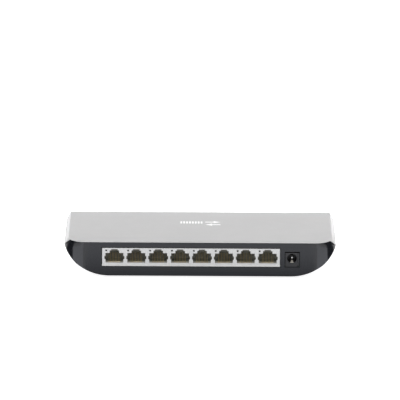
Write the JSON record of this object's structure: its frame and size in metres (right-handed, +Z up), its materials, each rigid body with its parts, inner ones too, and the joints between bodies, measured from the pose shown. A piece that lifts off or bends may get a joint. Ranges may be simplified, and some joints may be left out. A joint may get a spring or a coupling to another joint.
{
  "type": "desktop network switch",
  "caption": "Slim plastic desktop network switch with a row of modular sockets and a barrel power inlet on its rear, indicator window on its front, vents and feet below.",
  "frame": {"origin": "centre of the footprint, on the surface the rubber feet stand on", "axes": "+Z up, -Y the side with the sockets (rear), +Y the side with the indicators (front), +X to the right when looking at the sockets"},
  "size_m": [0.1808, 0.09, 0.0255],
  "materials": {
    "cover_plastic": "fine-textured light silver grey, satin",
    "housing_plastic": "satin charcoal",
    "window_plastic": "polished smoked black",
    "clear_plastic": "clear, polished",
    "led_lens": "milky",
    "board": "green solder mask",
    "shield_steel": "nickel plated, satin",
    "port_plastic": "glass filled black",
    "contact_gold": "gold plated wire",
    "jack_plastic": "moulded black",
    "plated_pin": "tin plated, bright",
    "plated_spring": "tin plated brass",
    "chip_plastic": "moulded epoxy",
    "pad_rubber": "soft silicone",
    "sink_aluminium": "black anodised",
    "can_steel": "drawn can",
    "ferrite": "matt ferrite",
    "capacitor_sleeve": "plain can",
    "chip_ceramic": "sintered",
    "screw_steel": "zinc plated",
    "foot_rubber": "soft, matt",
    "label_film": "blank film label"
  },
  "bodies": {
    "case": {"top_cover": "cover_plastic", "bottom_housing": "housing_plastic", "front_window": "window_plastic", "light_pipe": "clear_plastic", "indicator_leds": "led_lens", "circuit_board": "board", "port_shield": "shield_steel", "port_housing": "port_plastic", "port_contact_tails": "contact_gold", "dc_jack_body": "jack_plastic", "dc_jack_pin": "plated_pin", "dc_jack_spring_terminal": "plated_spring", "dc_jack_switch_terminal": "plated_spring", "transformer_1": "chip_plastic", "transformer_2": "chip_plastic", "transformer_3": "chip_plastic", "transformer_4": "chip_plastic", "switch_chip": "chip_plastic", "thermal_pad": "pad_rubber", "heat_sink": "sink_aluminium", "crystal": "can_steel", "memory_chip": "chip_plastic", "regulator_1": "chip_plastic", "regulator_2": "chip_plastic", "power_inductor": "ferrite", "input_capacitor": "capacitor_sleeve", "output_capacitor": "capacitor_sleeve", "input_diode": "chip_plastic", "chip_components": "chip_ceramic", "housing_screws": "screw_steel", "board_screws": "screw_steel", "foot_rear_left": "foot_rubber", "foot_rear_right": "foot_rubber", "foot_front_left": "foot_rubber", "foot_front_right": "foot_rubber", "rating_label": "label_film"},
    "port_1_contacts": {"port_1_contacts": "contact_gold"},
    "port_2_contacts": {"port_2_contacts": "contact_gold"},
    "port_3_contacts": {"port_3_contacts": "contact_gold"},
    "port_4_contacts": {"port_4_contacts": "contact_gold"},
    "port_5_contacts": {"port_5_contacts": "contact_gold"},
    "port_6_contacts": {"port_6_contacts": "contact_gold"},
    "port_7_contacts": {"port_7_contacts": "contact_gold"},
    "port_8_contacts": {"port_8_contacts": "contact_gold"},
    "dc_jack_spring": {"dc_jack_spring": "plated_spring"}
  },
  "joints": [
    {"name": "port_1_contacts_flex", "type": "hinge", "parent": "case", "child": "port_1_contacts", "pos_m": [-0.05689, -0.0434, 0.01095], "axis": [-1, 0, 0], "range_deg": [0, 12], "stiffness_Nm_per_rad": 0.34},
    {"name": "port_2_contacts_flex", "type": "hinge", "parent": "case", "child": "port_2_contacts", "pos_m": [-0.04235, -0.0434, 0.01095], "axis": [-1, 0, 0], "range_deg": [0, 12], "stiffness_Nm_per_rad": 0.34},
    {"name": "port_3_contacts_flex", "type": "hinge", "parent": "case", "child": "port_3_contacts", "pos_m": [-0.02781, -0.0434, 0.01095], "axis": [-1, 0, 0], "range_deg": [0, 12], "stiffness_Nm_per_rad": 0.34},
    {"name": "port_4_contacts_flex", "type": "hinge", "parent": "case", "child": "port_4_contacts", "pos_m": [-0.01327, -0.0434, 0.01095], "axis": [-1, 0, 0], "range_deg": [0, 12], "stiffness_Nm_per_rad": 0.34},
    {"name": "port_5_contacts_flex", "type": "hinge", "parent": "case", "child": "port_5_contacts", "pos_m": [0.00127, -0.0434, 0.01095], "axis": [-1, 0, 0], "range_deg": [0, 12], "stiffness_Nm_per_rad": 0.34},
    {"name": "port_6_contacts_flex", "type": "hinge", "parent": "case", "child": "port_6_contacts", "pos_m": [0.01581, -0.0434, 0.01095], "axis": [-1, 0, 0], "range_deg": [0, 12], "stiffness_Nm_per_rad": 0.34},
    {"name": "port_7_contacts_flex", "type": "hinge", "parent": "case", "child": "port_7_contacts", "pos_m": [0.03035, -0.0434, 0.01095], "axis": [-1, 0, 0], "range_deg": [0, 12], "stiffness_Nm_per_rad": 0.34},
    {"name": "port_8_contacts_flex", "type": "hinge", "parent": "case", "child": "port_8_contacts", "pos_m": [0.04489, -0.0434, 0.01095], "axis": [-1, 0, 0], "range_deg": [0, 12], "stiffness_Nm_per_rad": 0.34},
    {"name": "dc_jack_spring_flex", "type": "hinge", "parent": "case", "child": "dc_jack_spring", "pos_m": [0.06105, -0.0357, 0.00995], "axis": [1, 0, 0], "range_deg": [0, 11], "stiffness_Nm_per_rad": 0.16}
  ]
}
